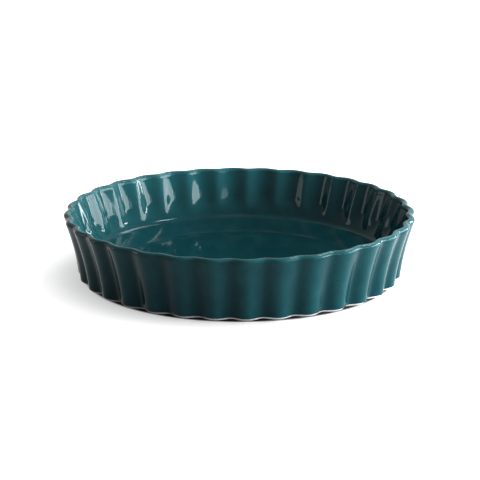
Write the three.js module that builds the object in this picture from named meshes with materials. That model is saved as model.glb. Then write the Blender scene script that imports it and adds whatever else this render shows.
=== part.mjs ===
// A fluted pie dish: one moulded stoneware body under a fired coat of coloured glaze.
// Millimetres, +Z up. The origin is the centre of the foot, on the surface that the dish stands on.
// A flute's crest lies on +X, and the flutes repeat evenly around +Z.
import * as THREE from "three";

// Driving dimensions of the glazed dish.
const rimDiameter = 285; // over two opposite flute crests
const baseDiameter = 263; // over two opposite flute crests, at the wall's bottom edge
const dishHeight = 54;
const wallThickness = 5.6; // at the rim, which is fully rounded
const wallThickening = 1.4; // how much thicker the wall is at its foot
const wallBow = 1.3; // how far the wall bows in from a straight slope
const floorThickness = 5.8; // in the well, with the glaze on both faces
const fluteCount = 32;
const fluteDepth = 2.8; // crest to groove at the rim, on both faces of the wall
const fluteDeepening = 1.8; // how much deeper the flutes are at the wall's foot
const grooveSoftness = 0.6; // 0 is a sharp groove, 1 is nearly a plain wave
const bottomRounding = 4.5; // radius of the wall's bottom edge
const glazeLine = 25; // degrees below level on that rounding, where the glaze stops
const skirtRise = 7.3; // height of the skirt, a shallow cone round the well, carried on to the wall
const coveSoftness = 3; // how broadly the wall rounds into the skirt, 0 is a sharp corner
const scallopEnd = 9; // height above the floor where the inside scallops have faded out
const scallopRunout = 14; // height over which they fade
const wellInset = 35.5; // from the wall's bottom edge in to the shallow well in the floor
const wellSlope = 5; // width of the slope round the well
const wellDepth = 0.6;
const footInset = 4; // from the grooves' bottom edge in to the foot
const footWidth = 10;
const footHeight = 1.4; // bare underside outside the foot, above the table
const footRecess = 1.8; // glazed underside inside the foot, above the table
const footRounding = 0.4;
const glazeThickness = 0.4;

// How finely the round forms are cut into facets.
const fluteSteps = [0, 0.28, 0.5, 0.72]; // shares of a flute: crest, shoulder, groove, shoulder
const outsideSteps = 3;
const insideSteps = 2;
const bareSteps = 2;
const bottomSteps = 2;
const rimSteps = 4;
const coveSteps = 6;

// Values that follow from the driving dimensions.
const rimRadius = rimDiameter / 2;
const baseRadius = baseDiameter / 2;
const edgeRadius = baseRadius - bottomRounding;
const footRadius = edgeRadius - fluteDepth - fluteDeepening - footInset;
const footInnerRadius = footRadius - footWidth;
const floorTop = footRecess + floorThickness + wellDepth;
const wallBottom = footHeight - glazeThickness + bottomRounding;
const wallTop = dishHeight - wallThickness / 2;
const skirtTop = floorTop + skirtRise;
const coveTop = skirtTop + 2 * skirtRise;
const wellRadius = baseRadius - wellInset;
const fluteAngles = [];
for (let flute = 0; flute < fluteCount; flute += 1) {
  for (const share of fluteSteps) fluteAngles.push(((flute + share) * 2 * Math.PI) / fluteCount);
}

// A station is one ring of the surface: its crest radius, its height, and its share of the rim's flute depth.
const station = (r, z, flute = 0) => ({ r, z, flute });

// The flute's wave at an angle: 1 on a crest and 0 in a groove, with broad crests.
function wave(angle) {
  const swing = Math.cos((fluteCount * angle) / 2);
  const soft = (x) => Math.hypot(x, grooveSoftness) - grooveSoftness;
  return soft(swing) / soft(1);
}

// How far up the wall a height is, 0 at the wall's foot and 1 under the rim.
function climb(z) {
  return (z - wallBottom) / (wallTop - wallBottom);
}

// The outer face's crest radius at a height on the wall.
function outerCrest(z) {
  const t = climb(z);
  return THREE.MathUtils.lerp(baseRadius, rimRadius, t) - 4 * wallBow * t * (1 - t);
}

// The share of the rim's flute depth at a height.
function fluteShare(z) {
  return 1 + (fluteDeepening / fluteDepth) * (1 - climb(z));
}

// The inner face's ridge radius at a height on the wall. The scallops are cut outward from it.
function innerRidge(z) {
  const thickness = wallThickness + wallThickening * (1 - climb(z));
  return outerCrest(z) - thickness - fluteDepth * fluteShare(z);
}

// The skirt's radius at a height.
function skirtRadius(z) {
  return THREE.MathUtils.mapLinear(z, floorTop, skirtTop, wellRadius, innerRidge(skirtTop));
}

// A ring of the inside at a height: wall and skirt with a cove between, and scallops that fade out downward.
function innerStation(z) {
  const wall = innerRidge(z);
  const skirt = skirtRadius(z);
  const coved = (wall + skirt) / 2 - Math.hypot((wall - skirt) / 2, coveSoftness);
  const fadeEnd = floorTop + scallopEnd;
  const flute = fluteShare(z) * THREE.MathUtils.smoothstep(z, fadeEnd, fadeEnd + scallopRunout);
  return station(coved + fluteDepth * flute, z, flute);
}

// Points along part of a circle in the section, without its first end.
function arc(centreR, centreZ, radius, from, to, steps) {
  return Array.from({ length: steps }, (_, i) => {
    const turn = from + ((to - from) * (i + 1)) / steps;
    return [centreR + radius * Math.cos(turn), centreZ + radius * Math.sin(turn)];
  });
}

// Heights from one level to another in even steps, without the first.
function levels(from, to, steps) {
  return Array.from({ length: steps }, (_, i) => from + ((to - from) * (i + 1)) / steps);
}

// The wall's bottom edge, from its lowest point round to the outer face, with the glaze line among its rings.
function bottomStations() {
  const line = -THREE.MathUtils.degToRad(glazeLine);
  const edge = [
    [edgeRadius, wallBottom - bottomRounding],
    ...arc(edgeRadius, wallBottom, bottomRounding, -Math.PI / 2, line, bareSteps),
    ...arc(edgeRadius, wallBottom, bottomRounding, line, 0, bottomSteps),
  ];
  return edge.map(([r, z]) => station(r, z, fluteShare(wallBottom)));
}

// The outer face, from the bottom edge up to the rim.
function outsideStations() {
  return levels(wallBottom, wallTop, outsideSteps).map((z) => station(outerCrest(z), z, fluteShare(z)));
}

// The rim, from the outer face over to the inner face.
function rimStations() {
  const rounding = wallThickness / 2;
  return arc(rimRadius - rounding, wallTop, rounding, 0, Math.PI, rimSteps).map(([r, z]) => station(r, z, 1));
}

// Inside, from under the rim down the scallops, round the cove and over the floor to the axis.
function insideStations() {
  const scallops = levels(wallTop, coveTop, insideSteps);
  const cove = levels(coveTop, floorTop, coveSteps).slice(0, -1);
  return [
    ...[...scallops, ...cove].map((z) => innerStation(z)),
    station(wellRadius, floorTop),
    station(wellRadius - wellSlope, floorTop - wellDepth),
    station(0, floorTop - wellDepth),
  ];
}

// The section sunk by the glaze's thickness, square to the section at each station.
function underGlaze(stations) {
  return stations.map((here, i) => {
    if (here.r === 0) return station(0, here.z - glazeThickness);
    const before = stations[Math.max(i - 1, 0)];
    const after = stations[i + 1];
    const along = new THREE.Vector2(after.r - before.r, after.z - before.z).setLength(glazeThickness);
    return station(here.r - along.y, here.z + along.x, here.flute);
  });
}

// A closed solid from rings of facets, along stations that start and end on the axis.
// Four-cornered facets are split along the shorter diagonal, so solids that share a face share its facets.
function turnedSolid(stations) {
  const points = [];
  const ringStarts = stations.map(({ r, z, flute }) => {
    const start = points.length;
    for (const angle of r === 0 ? [0] : fluteAngles) {
      const radius = r === 0 ? 0 : r - fluteDepth * flute * (1 - wave(angle));
      points.push(new THREE.Vector3(radius * Math.cos(angle), radius * Math.sin(angle), z));
    }
    return start;
  });
  const gap = (one, other) => points[one].distanceTo(points[other]);
  const faces = [];
  for (let k = 0; k + 1 < stations.length; k += 1) {
    const startsOnAxis = stations[k].r === 0;
    const endsOnAxis = stations[k + 1].r === 0;
    for (let i = 0; i < fluteAngles.length; i += 1) {
      const next = (i + 1) % fluteAngles.length;
      const [a, b] = [ringStarts[k] + i, ringStarts[k] + next];
      const [c, d] = [ringStarts[k + 1] + next, ringStarts[k + 1] + i];
      if (startsOnAxis) faces.push(ringStarts[k], c, d);
      else if (endsOnAxis) faces.push(a, b, ringStarts[k + 1]);
      else if (gap(a, c) < gap(b, d)) faces.push(a, b, c, a, c, d);
      else faces.push(a, b, d, b, c, d);
    }
  }
  const geometry = new THREE.BufferGeometry().setFromPoints(points);
  geometry.setIndex(faces);
  geometry.computeVertexNormals();
  return geometry;
}

// The section at the glaze's outer face, from the wall's bottom edge to the middle of the floor.
// The clay is sunk under it all the way, and the glaze covers it from the glaze line on.
const outerSection = [...bottomStations(), ...outsideStations(), ...rimStations(), ...insideStations()];
const claySection = underGlaze(outerSection);
const glazedFace = outerSection.slice(bareSteps);
const clayFace = claySection.slice(bareSteps);

// The fired clay: underside, bare foot ring, bare bottom edge, wall and floor.
function stonewareBody() {
  const underside = footRecess + glazeThickness;
  const bareFoot = [
    station(0, underside),
    station(footInnerRadius, underside),
    station(footInnerRadius, footRounding),
    station(footInnerRadius + footRounding, 0),
    station(footRadius - footRounding, 0),
    station(footRadius, footRounding),
    station(footRadius, claySection[0].z),
  ];
  return turnedSolid([...bareFoot, ...claySection]);
}

// The glaze over the outside, the rim and the inside, in one coat.
function glazeCoat() {
  return turnedSolid([...[...clayFace].reverse(), ...glazedFace]);
}

// The glaze in the recess under the dish, inside the bare foot ring.
function baseGlaze() {
  return turnedSolid([
    station(0, footRecess),
    station(footInnerRadius, footRecess),
    station(footInnerRadius, footRecess + glazeThickness),
    station(0, footRecess + glazeThickness),
  ]);
}

const glaze = new THREE.MeshStandardMaterial({ color: 0x1d5560, roughness: 0.12, metalness: 0 });
const clay = new THREE.MeshStandardMaterial({ color: 0xcfcfd0, roughness: 0.85, metalness: 0 });

function piece(name, geometry, material) {
  const mesh = new THREE.Mesh(geometry, material);
  mesh.name = name;
  return mesh;
}

const pieDish = new THREE.Group();
pieDish.add(piece("stoneware_body", stonewareBody(), clay));
pieDish.add(piece("glaze_coat", glazeCoat(), glaze));
pieDish.add(piece("base_glaze", baseGlaze(), glaze));

export default pieDish;
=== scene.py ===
import math

import bmesh
import bpy
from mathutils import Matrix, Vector


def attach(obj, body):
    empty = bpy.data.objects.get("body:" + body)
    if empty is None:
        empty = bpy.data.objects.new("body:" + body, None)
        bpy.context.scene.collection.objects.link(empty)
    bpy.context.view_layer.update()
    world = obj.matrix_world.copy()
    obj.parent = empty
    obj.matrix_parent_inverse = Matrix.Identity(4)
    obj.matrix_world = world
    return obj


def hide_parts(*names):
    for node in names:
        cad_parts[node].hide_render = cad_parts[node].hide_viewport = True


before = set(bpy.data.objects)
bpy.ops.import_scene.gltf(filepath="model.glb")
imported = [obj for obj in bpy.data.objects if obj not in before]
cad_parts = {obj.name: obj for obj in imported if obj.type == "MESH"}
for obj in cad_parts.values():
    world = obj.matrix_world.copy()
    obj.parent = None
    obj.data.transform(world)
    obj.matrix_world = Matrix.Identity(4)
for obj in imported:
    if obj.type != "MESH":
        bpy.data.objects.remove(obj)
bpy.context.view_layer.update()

scene = bpy.context.scene
scene.view_settings.view_transform = "Standard"
mm = 0.001


def hexToLinear(code):
    channels = [int(code[i:i + 2], 16) / 255 for i in (1, 3, 5)]
    return tuple(c / 12.92 if c <= 0.04045 else ((c + 0.055) / 1.055) ** 2.4 for c in channels) + (1.0,)


def addNode(tree, kind, settings=None, links=None):
    node = tree.nodes.new(kind)
    for key, value in (settings or {}).items():
        if isinstance(key, str) and hasattr(node, key):
            setattr(node, key, value)
        else:
            node.inputs[key].default_value = value
    for key, source in (links or {}).items():
        tree.links.new(source, node.inputs[key])
    return node


def seenBackground(tree):  # 1 for rays that show the background: straight, mirrored or through glass
    path = addNode(tree, "ShaderNodeLightPath").outputs
    seen = addNode(tree, "ShaderNodeMath", {"operation": "MAXIMUM"},
                   {0: path["Is Camera Ray"], 1: path["Is Glossy Ray"]})
    seen = addNode(tree, "ShaderNodeMath", {"operation": "MAXIMUM"},
                   {0: seen.outputs[0], 1: path["Is Transmission Ray"]})
    return seen.outputs[0]


# camera, at the height and distance that the rim's ellipse gives
cameraSettings = {
    "turn": -2.56,  # degrees round the dish, 0 looks along +Y
    "elevation": 15.4,
    "distance": 1.91,
    "lens": 176.6,
    "rimCentre": (0.0, 0.0, 0.054),
    "aimRight": 0.0004,  # the picture's middle, from the rim's centre
    "aimUp": -0.0241,
}


def placeCamera(s):
    turn, rise = math.radians(s["turn"]), math.radians(s["elevation"])
    away = Vector((math.sin(turn) * math.cos(rise), -math.cos(turn) * math.cos(rise), math.sin(rise)))
    right = Vector((math.cos(turn), math.sin(turn), 0))
    up = away.cross(right)
    centre = Vector(s["rimCentre"])
    data = bpy.data.cameras.new("camera")
    data.lens = s["lens"]
    data.sensor_width = 36
    data.sensor_fit = "HORIZONTAL"
    camera = bpy.data.objects.new("camera", data)
    scene.collection.objects.link(camera)
    camera.location = centre + away * s["distance"]
    aim = centre + right * s["aimRight"] + up * s["aimUp"]
    camera.rotation_euler = (aim - camera.location).to_track_quat("-Z", "Y").to_euler()
    scene.camera = camera


placeCamera(cameraSettings)
print("camera placed")


# gloss stoneware glaze: a thin coloured glass, dipped and fired, so it is mirror smooth with a faint
# ripple, paler where it runs thin over edges and darker where it pools in the grooves
glazeFinish = {
    "colour": "#124248",
    "pooled": "#073137",
    "thin": "#32686c",
    "mottle": 14 * mm,
    "pinhole": 5 * mm,  # spacing
    "ripple": 9 * mm,
    "peel": 1.6 * mm,  # real peel is finer, drawn this coarse to show
    "pinholeEdge": (0.06, 0.11),  # shares of the spacing
    "pinholeShade": 0.55,
    "poolInGroove": 0.6,
    "poolRange": (0.35, 1.1),
    "thinOnRidge": 0.35,
    "rippleStrength": 0.22, "rippleHeight": 0.12 * mm,
    "peelStrength": 0.2, "peelHeight": 0.02 * mm,
    "roughness": 0.07, "roughnessSpread": (0.7, 1.4),
    "ior": 1.5,
    "specularLevel": 0.08,
    "specularTint": (0.8, 0.97, 1.0, 1.0),  # faint cool cast, as seen in its highlights
}


def makeGlaze(s):
    material = bpy.data.materials.new("glossStonewareGlaze")
    material.use_nodes = True
    tree = material.node_tree
    shader = tree.nodes["Principled BSDF"]
    shader.inputs["IOR"].default_value = s["ior"]
    shader.inputs["Specular IOR Level"].default_value = s["specularLevel"]
    shader.inputs["Specular Tint"].default_value = s["specularTint"]
    spot = addNode(tree, "ShaderNodeTexCoord").outputs["Object"]
    groove = addNode(tree, "ShaderNodeAttribute", {"attribute_name": "groove"}).outputs["Fac"]
    thin = addNode(tree, "ShaderNodeAttribute", {"attribute_name": "glazeThin"}).outputs["Fac"]

    # colour: pooling in the grooves, mottling, thin edges, pinholes
    mottle = addNode(tree, "ShaderNodeTexNoise", {"Scale": 1 / s["mottle"], "Detail": 4.0}, {"Vector": spot})
    inside = addNode(tree, "ShaderNodeAttribute", {"attribute_name": "insideFace"}).outputs["Fac"]
    ridge = addNode(tree, "ShaderNodeMath", {"operation": "MULTIPLY"}, {0: groove, 1: inside}).outputs[0]
    outer = addNode(tree, "ShaderNodeMath", {"operation": "SUBTRACT"}, {0: groove, 1: ridge}).outputs[0]
    bare = addNode(tree, "ShaderNodeMath", {"operation": "MULTIPLY_ADD", 1: s["thinOnRidge"]},
                   {0: ridge, 2: thin}).outputs[0]
    pool = addNode(tree, "ShaderNodeMath", {"operation": "MULTIPLY_ADD", 1: s["poolInGroove"]},
                   {0: outer, 2: mottle.outputs["Fac"]})
    low, high = s["poolRange"]
    poolRamp = addNode(tree, "ShaderNodeMapRange", {"From Min": low, "From Max": high},
                       {"Value": pool.outputs[0]})
    body = addNode(tree, "ShaderNodeMix", {"data_type": "RGBA", 6: hexToLinear(s["colour"]),
                                           7: hexToLinear(s["pooled"])}, {0: poolRamp.outputs[0]})
    edge = addNode(tree, "ShaderNodeMath", {"operation": "MULTIPLY"}, {0: bare, 1: mottle.outputs["Fac"]})
    worn = addNode(tree, "ShaderNodeMix", {"data_type": "RGBA", 7: hexToLinear(s["thin"])},
                   {0: edge.outputs[0], 6: body.outputs[2]})
    cells = addNode(tree, "ShaderNodeTexVoronoi", {"Scale": 1 / s["pinhole"]}, {"Vector": spot})
    hole, clear = s["pinholeEdge"]
    pin = addNode(tree, "ShaderNodeMapRange", {"From Min": hole, "From Max": clear,
                                               "To Min": s["pinholeShade"], "To Max": 1.0},
                  {"Value": cells.outputs["Distance"]})
    spotted = addNode(tree, "ShaderNodeMix", {"data_type": "RGBA", "blend_type": "MULTIPLY", 0: 1.0},
                      {6: worn.outputs[2], 7: pin.outputs[0]})
    tree.links.new(spotted.outputs[2], shader.inputs["Base Color"])

    # gloss: a little duller in patches
    glossy, dull = s["roughnessSpread"]
    sheen = addNode(tree, "ShaderNodeMapRange", {"To Min": s["roughness"] * glossy,
                                                 "To Max": s["roughness"] * dull},
                    {"Value": mottle.outputs["Fac"]})
    tree.links.new(sheen.outputs[0], shader.inputs["Roughness"])

    # surface: a slow ripple and a fine peel
    ripple = addNode(tree, "ShaderNodeTexNoise", {"Scale": 1 / s["ripple"], "Detail": 1.0}, {"Vector": spot})
    peel = addNode(tree, "ShaderNodeTexNoise", {"Scale": 1 / s["peel"], "Detail": 2.0}, {"Vector": spot})
    rippleBump = addNode(tree, "ShaderNodeBump", {"Strength": s["rippleStrength"],
                                                  "Distance": s["rippleHeight"]},
                         {"Height": ripple.outputs["Fac"]})
    peelBump = addNode(tree, "ShaderNodeBump", {"Strength": s["peelStrength"], "Distance": s["peelHeight"]},
                       {"Height": peel.outputs["Fac"], "Normal": rippleBump.outputs[0]})
    tree.links.new(peelBump.outputs[0], shader.inputs["Normal"])
    return material


# fired stoneware: bare pressed clay, wiped clean of glaze, so it is matt, pale and slightly gritty
clayFinish = {
    "colour": "#dcdce0",
    "fleck": "#a9a49c",
    "fleckRange": (0.55, 0.75),
    "grain": 1.4 * mm,
    "gritStrength": 0.4, "gritHeight": 0.2 * mm,
    "roughness": 0.85,
}


def makeClay(s):
    material = bpy.data.materials.new("firedStoneware")
    material.use_nodes = True
    tree = material.node_tree
    shader = tree.nodes["Principled BSDF"]
    shader.inputs["Roughness"].default_value = s["roughness"]
    spot = addNode(tree, "ShaderNodeTexCoord").outputs["Object"]
    grain = addNode(tree, "ShaderNodeTexNoise", {"Scale": 1 / s["grain"], "Detail": 3.0}, {"Vector": spot})
    low, high = s["fleckRange"]
    fleck = addNode(tree, "ShaderNodeMapRange", {"From Min": low, "From Max": high},
                    {"Value": grain.outputs["Fac"]})
    tone = addNode(tree, "ShaderNodeMix", {"data_type": "RGBA", 6: hexToLinear(s["colour"]),
                                           7: hexToLinear(s["fleck"])}, {0: fleck.outputs[0]})
    bump = addNode(tree, "ShaderNodeBump", {"Strength": s["gritStrength"], "Distance": s["gritHeight"]},
                   {"Height": grain.outputs["Fac"]})
    tree.links.new(tone.outputs[2], shader.inputs["Base Color"])
    tree.links.new(bump.outputs[0], shader.inputs["Normal"])
    return material


glaze = makeGlaze(glazeFinish)
clay = makeClay(clayFinish)
print("finishes made")


# the dish's section, in millimetres, as the solids have it but with finer rings
dish = {
    "rimDiameter": 285, "baseDiameter": 263, "height": 54,
    "wallThickness": 5.6, "wallThickening": 1.4, "wallBow": 1.3, "floorThickness": 5.8,
    "fluteCount": 32, "fluteDepth": 2.8, "fluteDeepening": 1.8, "grooveSoftness": 0.6,
    "bottomRounding": 4.5, "glazeLine": 25,  # degrees below level on that rounding, where the glaze stops
    "skirtRise": 7.3, "coveSoftness": 3,
    "scallopEnd": 9, "scallopRunout": 14,
    "wellInset": 35.5, "wellSlope": 5, "wellDepth": 0.6,
    "footHeight": 1.4, "footInset": 4, "footWidth": 10, "footRecess": 1.8, "footRounding": 0.4,
    "glazeThickness": 0.4,
    "around": 512, "grooveCrowding": 0.2, "clayEvery": 3,
    # rings along the section
    "bareRings": 4, "bottomRings": 8, "outsideRings": 20, "rimRings": 16,
    "scallopRings": 16, "coveRings": 32, "slopeRings": 8,
    "floorShares": (0.995, 0.8, 0.55, 0.3, 0.1, 0),
}


def smoothStep(low, high, x):
    t = min(max((x - low) / (high - low), 0), 1)
    return t * t * (3 - 2 * t)


def section(d):
    rim, base = d["rimDiameter"] / 2, d["baseDiameter"] / 2
    edge = base - d["bottomRounding"]
    wallBottom = d["footHeight"] - d["glazeThickness"] + d["bottomRounding"]
    wallTop = d["height"] - d["wallThickness"] / 2
    floorTop = d["footRecess"] + d["floorThickness"] + d["wellDepth"]
    well = base - d["wellInset"]

    def climb(z):
        return (z - wallBottom) / (wallTop - wallBottom)

    def deep(z):  # flute depth as a share of the rim's
        return 1 + d["fluteDeepening"] / d["fluteDepth"] * min(1 - climb(z), 1)

    def crest(z):
        t = climb(z)
        return base + (rim - base) * t - 4 * d["wallBow"] * t * (1 - t)

    def ridge(z):  # inner face, with the scallops cut outward from it
        thickness = d["wallThickness"] + d["wallThickening"] * (1 - climb(z))
        return crest(z) - thickness - d["fluteDepth"] * deep(z)

    corner = floorTop + d["skirtRise"]  # where the skirt, a shallow cone round the well, would meet the wall

    def skirt(z):
        return well + (ridge(corner) - well) * (z - floorTop) / d["skirtRise"]

    def inner(z):
        wall = ridge(z)
        coved = (wall + skirt(z)) / 2 - math.hypot((wall - skirt(z)) / 2, d["coveSoftness"])
        low = floorTop + d["scallopEnd"]
        share = deep(z) * smoothStep(low, low + d["scallopRunout"], z)
        return (coved + d["fluteDepth"] * share, z, share, 0, 1)

    # radius, height, flute share, how thin the glaze is, inside or not
    rings = []
    lineAngle = -math.radians(d["glazeLine"])
    bare, glazed = d["bareRings"], d["bottomRings"]
    lower = [-math.pi / 2 + (math.pi / 2 + lineAngle) * i / bare for i in range(bare)]
    upper = [lineAngle * (1 - i / glazed) for i in range(glazed + 1)]
    for a in lower + upper:  # bottom edge
        r, z = edge + d["bottomRounding"] * math.cos(a), wallBottom + d["bottomRounding"] * math.sin(a)
        rings.append((r, z, deep(wallBottom), float(a == lineAngle), 0))
    for i in range(1, d["outsideRings"] + 1):  # outer wall
        z = wallBottom + (wallTop - wallBottom) * i / d["outsideRings"]
        rings.append((crest(z), z, deep(z), 0, 0))
    half = d["wallThickness"] / 2
    for i in range(1, d["rimRings"] + 1):  # rim
        a = math.pi * i / d["rimRings"]
        r, z = rim - half + half * math.cos(a), wallTop + half * math.sin(a)
        rings.append((r, z, 1, math.sin(a), int(i > d["rimRings"] / 2)))
    coveTop = corner + 2 * d["skirtRise"]
    for i in range(1, d["scallopRings"] + 1):  # scallops
        rings.append(inner(wallTop + (coveTop - wallTop) * i / d["scallopRings"]))
    for i in range(1, d["coveRings"]):  # cove and skirt
        rings.append(inner(coveTop + (floorTop - coveTop) * i / d["coveRings"]))
    rings.append((well, floorTop, 0, 0, 1))
    for i in range(1, d["slopeRings"] + 1):  # slope into the well
        t = i / d["slopeRings"]
        rings.append((well - d["wellSlope"] * t, floorTop - d["wellDepth"] * smoothStep(0, 1, t), 0, 0, 1))
    for share in d["floorShares"]:
        rings.append(((well - d["wellSlope"]) * share, floorTop - d["wellDepth"], 0, 0, 1))
    return rings, len(lower), edge - d["fluteDepth"] - d["fluteDeepening"] - d["footInset"]


def underGlaze(rings, depth):
    sunk = []
    for i, (r, z, *rest) in enumerate(rings):
        if r == 0:
            sunk.append((0, z - depth, *rest))
            continue
        before, after = rings[max(i - 1, 0)], rings[i + 1]
        along = Vector((after[0] - before[0], after[1] - before[1])).normalized() * depth
        sunk.append((r - along.y, z + along.x, *rest))
    return sunk


def revolve(name, rings, d):
    around, count = d["around"], d["fluteCount"]
    crowd = d["grooveCrowding"] * around / count / (2 * math.pi)  # closer points in the grooves
    bm = bmesh.new()
    layers = [bm.verts.layers.float.new(label) for label in ("fluteShare", "glazeThin", "insideFace")]
    loops = []
    for r, z, *marks in rings:
        loop = []
        for k in range(around if r else 1):
            a = 2 * math.pi * (k + crowd * math.sin(2 * math.pi * k * count / around)) / around
            v = bm.verts.new((r * math.cos(a) * mm, r * math.sin(a) * mm, z * mm))
            for layer, mark in zip(layers, marks):
                v[layer] = mark
            loop.append(v)
        loops.append(loop)
    for low, high in zip(loops, loops[1:]):
        for k in range(around):
            n = (k + 1) % around
            if len(low) == 1:
                bm.faces.new((low[0], high[n], high[k]))
            elif len(high) == 1:
                bm.faces.new((low[k], low[n], high[0]))
            else:
                bm.faces.new((low[k], low[n], high[n], high[k]))
    mesh = bpy.data.meshes.new(name)
    bm.to_mesh(mesh)
    bm.free()
    piece = bpy.data.objects.new(name, mesh)
    scene.collection.objects.link(piece)
    return piece


def fluteTree():
    tree = bpy.data.node_groups.new("fluteRule", "GeometryNodeTree")
    face = tree.interface
    face.new_socket("Geometry", in_out="INPUT", socket_type="NodeSocketGeometry")
    for label in ("Flute Count", "Flute Depth", "Groove Softness"):
        face.new_socket(label, in_out="INPUT", socket_type="NodeSocketFloat")
    face.new_socket("Finish", in_out="INPUT", socket_type="NodeSocketMaterial")
    face.new_socket("Geometry", in_out="OUTPUT", socket_type="NodeSocketGeometry")
    given = addNode(tree, "NodeGroupInput").outputs
    place = addNode(tree, "GeometryNodeInputPosition").outputs[0]
    part = addNode(tree, "ShaderNodeSeparateXYZ", None, {0: place}).outputs
    share = addNode(tree, "GeometryNodeInputNamedAttribute", {"data_type": "FLOAT", "Name": "fluteShare"})
    share = next(o for o in share.outputs if o.name == "Attribute" and o.enabled)

    # broad crests and softly rounded grooves: a softened cosine of half the flute's turn
    kind = "ShaderNodeMath"
    soft = given["Groove Softness"]
    turn = addNode(tree, kind, {"operation": "ARCTAN2"}, {0: part["Y"], 1: part["X"]})
    halfCount = addNode(tree, kind, {"operation": "MULTIPLY", 1: 0.5}, {0: given["Flute Count"]})
    phase = addNode(tree, kind, {"operation": "MULTIPLY"}, {0: turn.outputs[0], 1: halfCount.outputs[0]})
    swing = addNode(tree, kind, {"operation": "COSINE"}, {0: phase.outputs[0]}).outputs[0]
    softSquare = addNode(tree, kind, {"operation": "MULTIPLY"}, {0: soft, 1: soft}).outputs[0]
    square = addNode(tree, kind, {"operation": "MULTIPLY_ADD"}, {0: swing, 1: swing, 2: softSquare})
    root = addNode(tree, kind, {"operation": "SQRT"}, {0: square.outputs[0]})
    height = addNode(tree, kind, {"operation": "SUBTRACT"}, {0: root.outputs[0], 1: soft})
    tallSquare = addNode(tree, kind, {"operation": "ADD", 1: 1.0}, {0: softSquare})
    tallRoot = addNode(tree, kind, {"operation": "SQRT"}, {0: tallSquare.outputs[0]})
    tallest = addNode(tree, kind, {"operation": "SUBTRACT"}, {0: tallRoot.outputs[0], 1: soft})
    rise = addNode(tree, kind, {"operation": "DIVIDE"}, {0: height.outputs[0], 1: tallest.outputs[0]})
    dip = addNode(tree, kind, {"operation": "SUBTRACT", 0: 1.0}, {1: rise.outputs[0]})
    groove = addNode(tree, kind, {"operation": "MULTIPLY"}, {0: dip.outputs[0], 1: share}).outputs[0]
    depth = addNode(tree, kind, {"operation": "MULTIPLY"}, {0: groove, 1: given["Flute Depth"]})
    inward = addNode(tree, kind, {"operation": "MULTIPLY", 1: -1.0}, {0: depth.outputs[0]}).outputs[0]
    level = addNode(tree, "ShaderNodeCombineXYZ", None, {"X": part["X"], "Y": part["Y"]}).outputs[0]
    outward = addNode(tree, "ShaderNodeVectorMath", {"operation": "NORMALIZE"}, {0: level}).outputs[0]
    shift = addNode(tree, "ShaderNodeVectorMath", {"operation": "SCALE"},
                    {0: outward, "Scale": inward}).outputs[0]
    kept = addNode(tree, "GeometryNodeStoreNamedAttribute", {"data_type": "FLOAT", "Name": "groove"},
                   {"Geometry": given["Geometry"], "Value": groove})
    moved = addNode(tree, "GeometryNodeSetPosition", None, {"Geometry": kept.outputs[0], "Offset": shift})
    real = addNode(tree, "GeometryNodeRealizeInstances", None, {"Geometry": moved.outputs[0]})
    finished = addNode(tree, "GeometryNodeSetMaterial", None, {"Geometry": real.outputs[0],
                                                              "Material": given["Finish"]})
    addNode(tree, "NodeGroupOutput", None, {0: finished.outputs[0]})
    return tree


fluteRule = fluteTree()


def flute(piece, d, finish):
    modifier = piece.modifiers.new("flutes", "NODES")
    modifier.node_group = fluteRule
    values = {"Flute Count": float(d["fluteCount"]), "Flute Depth": d["fluteDepth"] * mm,
              "Groove Softness": d["grooveSoftness"], "Finish": finish}
    for item in fluteRule.interface.items_tree:
        if item.in_out == "INPUT" and item.name in values:
            modifier[item.identifier] = values[item.name]
    evaluated = piece.evaluated_get(bpy.context.evaluated_depsgraph_get())
    mesh = bpy.data.meshes.new_from_object(evaluated)
    piece.modifiers.remove(modifier)
    piece.data = mesh
    mesh.shade_smooth()
    print(piece.name, len(mesh.vertices), "points", len(mesh.polygons), "faces")


face, glazeStart, footRadius = section(dish)
clayFace = underGlaze(face, dish["glazeThickness"])
clayBack = [ring for i, ring in enumerate(clayFace)
            if i >= glazeStart and ((i - glazeStart) % dish["clayEvery"] == 0 or i == len(clayFace) - 1)]

coat = revolve("glazedWallAndFloor", clayBack[::-1] + face[glazeStart:], dish)
flute(coat, dish, glaze)

footTurns = (0, 0.5, 1, math.pi / 2)  # round the foot's corners
footInside = footRadius - dish["footWidth"]
recess, soften = dish["footRecess"], dish["footRounding"]
under = recess + dish["glazeThickness"]
footRings = [(0, under, 0, 0, 0), (footInside, under, 0, 0, 0)]
for a in footTurns:
    footRings.append((footInside + soften * (1 - math.cos(a)), soften * (1 - math.sin(a)), 0, 0, 0))
for a in footTurns:
    footRings.append((footRadius - soften * (1 - math.sin(a)), soften * (1 - math.cos(a)), 0, 0, 0))
footRings.append((footRadius, dish["footHeight"], 0, 0, 0))
body = revolve("clayBodyAndFoot", footRings + clayFace[:glazeStart] + clayBack, dish)
flute(body, dish, clay)

# the glaze in the recess hangs a little lower where it meets the foot
underside = {"middle": 60, "rollWidth": 1.5, "rollDrop": 0.25, "footGap": 0.02}
outside = footInside - underside["footGap"]
baseRings = [(0, recess, 0, 0, 0), (underside["middle"], recess, 0, 0, 0)]
baseRings += [(footInside - underside["rollWidth"], recess, 0, 0, 0)]
baseRings += [(outside, recess - underside["rollDrop"], 0, 1, 0)]
baseRings += [(outside, under, 0, 0, 0), (0, under, 0, 0, 0)]
base = revolve("glazedUnderside", baseRings, dish)
flute(base, dish, glaze)

for piece, node, slot in ((coat, "glaze_coat", "glaze"), (body, "stoneware_body", "stoneware"),
                          (base, "base_glaze", "glaze")):
    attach(piece, "root")
    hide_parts(node)
print("dish made")


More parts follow.
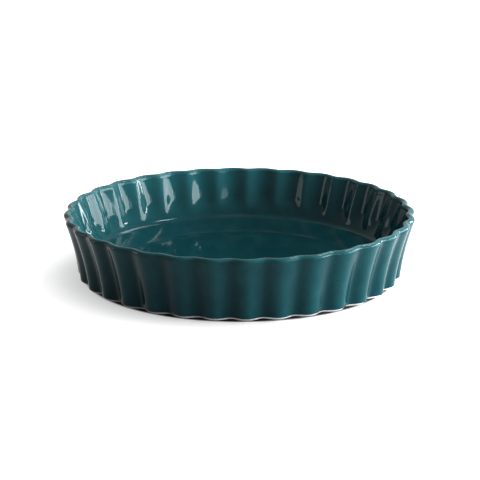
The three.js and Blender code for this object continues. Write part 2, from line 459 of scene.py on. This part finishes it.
# studio: pale floor, a broad softbox low on the right with narrower ones beside it,
# dim ones on the left and in front, soft lights overhead; metres
studio = {
    "floor": "#d0d0d0",
    "floorHalf": 20,
    "floorLift": (0.48, 0.93),  # white background: lower by the dish, painted shade in a ring round its foot that the lamps' cast shadow deepens, and full away from it
    "liftReach": (0.125, 0.165),
    "paintedContactShadow": (0.1245, 0.1275),  # painted contact shadow: the floor just under the wall's foot is painted dark and its white lift is cut
    "gap": "#4a4e50",
    "worldLight": 0.02,
    "lamps": [  # aim is a height on the dish's axis
        {"name": "key", "place": (0.5, 0.05, 0.78), "aim": 0.03, "size": (0.16, 0.16), "energy": 4},
        {"name": "side", "place": (0.85, -0.07, 0.2), "aim": 0.03, "size": (0.66, 0.28), "energy": 18},
        {"name": "panel", "place": (0.72, -0.46, 0.2), "aim": 0.03, "size": (0.46, 0.26), "energy": 4},
        {"name": "edge", "place": (0.77, 0.36, 0.2), "aim": 0.03, "size": (0.07, 0.3), "energy": 4},
        {"name": "strip", "place": (0.64, -1.02, 0.2), "aim": 0.03, "size": (0.05, 0.3), "energy": 1.8},
        {"name": "left", "place": (-0.95, 0.08, 0.25), "aim": 0.03, "size": (0.26, 0.3), "energy": 1.2},
        {"name": "front", "place": (-0.25, -1.45, 0.35), "aim": 0.03, "size": (0.3, 0.3), "energy": 0.4},
        {"name": "top", "place": (0.0, 0.0, 1.1), "aim": 0, "size": (0.3, 0.4), "energy": 0.8},
        {"name": "back", "place": (0.45, 0.85, 0.95), "aim": 0, "size": (0.4, 0.25), "energy": 3},
    ],
}


def makeStudio(s):
    world = bpy.data.worlds.new("studio")
    scene.world = world
    world.use_nodes = True
    tree = world.node_tree
    level = addNode(tree, "ShaderNodeMapRange", {"To Min": s["worldLight"], "To Max": 1.0},
                    {"Value": seenBackground(tree)})
    tree.links.new(level.outputs[0], tree.nodes["Background"].inputs["Strength"])
    tree.nodes["Background"].inputs["Color"].default_value = (1, 1, 1, 1)

    material = bpy.data.materials.new("paleFloor")
    material.use_nodes = True
    tree = material.node_tree
    shader = tree.nodes["Principled BSDF"]
    shader.inputs["Roughness"].default_value = 0.9
    shader.inputs["Specular IOR Level"].default_value = 0.0
    shader.inputs["Emission Color"].default_value = (1, 1, 1, 1)
    spot = addNode(tree, "ShaderNodeTexCoord").outputs["Object"]
    reach = addNode(tree, "ShaderNodeVectorMath", {"operation": "LENGTH"}, {0: spot}).outputs["Value"]
    # the floor's lift is dimmer close to the dish: painted shade in a ring round its foot
    near, far = s["liftReach"]
    shadowed, white = s["floorLift"]
    level = addNode(tree, "ShaderNodeMapRange", {"From Min": near, "From Max": far, "To Min": shadowed,
                                                 "To Max": white}, {"Value": reach})
    # painted contact shadow: under the wall's foot the floor's colour is mixed to a dark shade tone and its
    # white lift is cut to nothing
    under, beside = s["paintedContactShadow"]
    clear = addNode(tree, "ShaderNodeMapRange", {"From Min": under, "From Max": beside}, {"Value": reach})
    tone = addNode(tree, "ShaderNodeMix", {"data_type": "RGBA", 6: hexToLinear(s["gap"]),
                                           7: hexToLinear(s["floor"])}, {0: clear.outputs[0]})
    tree.links.new(tone.outputs[2], shader.inputs["Base Color"])
    level = addNode(tree, "ShaderNodeMath", {"operation": "MULTIPLY"},
                    {0: level.outputs[0], 1: clear.outputs[0]})
    lift = addNode(tree, "ShaderNodeMath", {"operation": "MULTIPLY"},
                   {0: seenBackground(tree), 1: level.outputs[0]})
    tree.links.new(lift.outputs[0], shader.inputs["Emission Strength"])
    mesh = bpy.data.meshes.new("floor")
    h = s["floorHalf"]
    mesh.from_pydata([(-h, -h, 0), (h, -h, 0), (h, h, 0), (-h, h, 0)], [], [(0, 1, 2, 3)])
    mesh.materials.append(material)
    floor = bpy.data.objects.new("floor", mesh)
    scene.collection.objects.link(floor)

    for lamp in s["lamps"]:
        data = bpy.data.lights.new(lamp["name"], "AREA")
        data.shape = "RECTANGLE"
        data.size, data.size_y = lamp["size"]
        data.energy = lamp["energy"]
        light = bpy.data.objects.new(lamp["name"], data)
        scene.collection.objects.link(light)
        light.location = lamp["place"]
        toDish = Vector((0, 0, lamp["aim"])) - light.location
        light.rotation_euler = toDish.to_track_quat("-Z", "Y").to_euler()


makeStudio(studio)
print("studio lit")
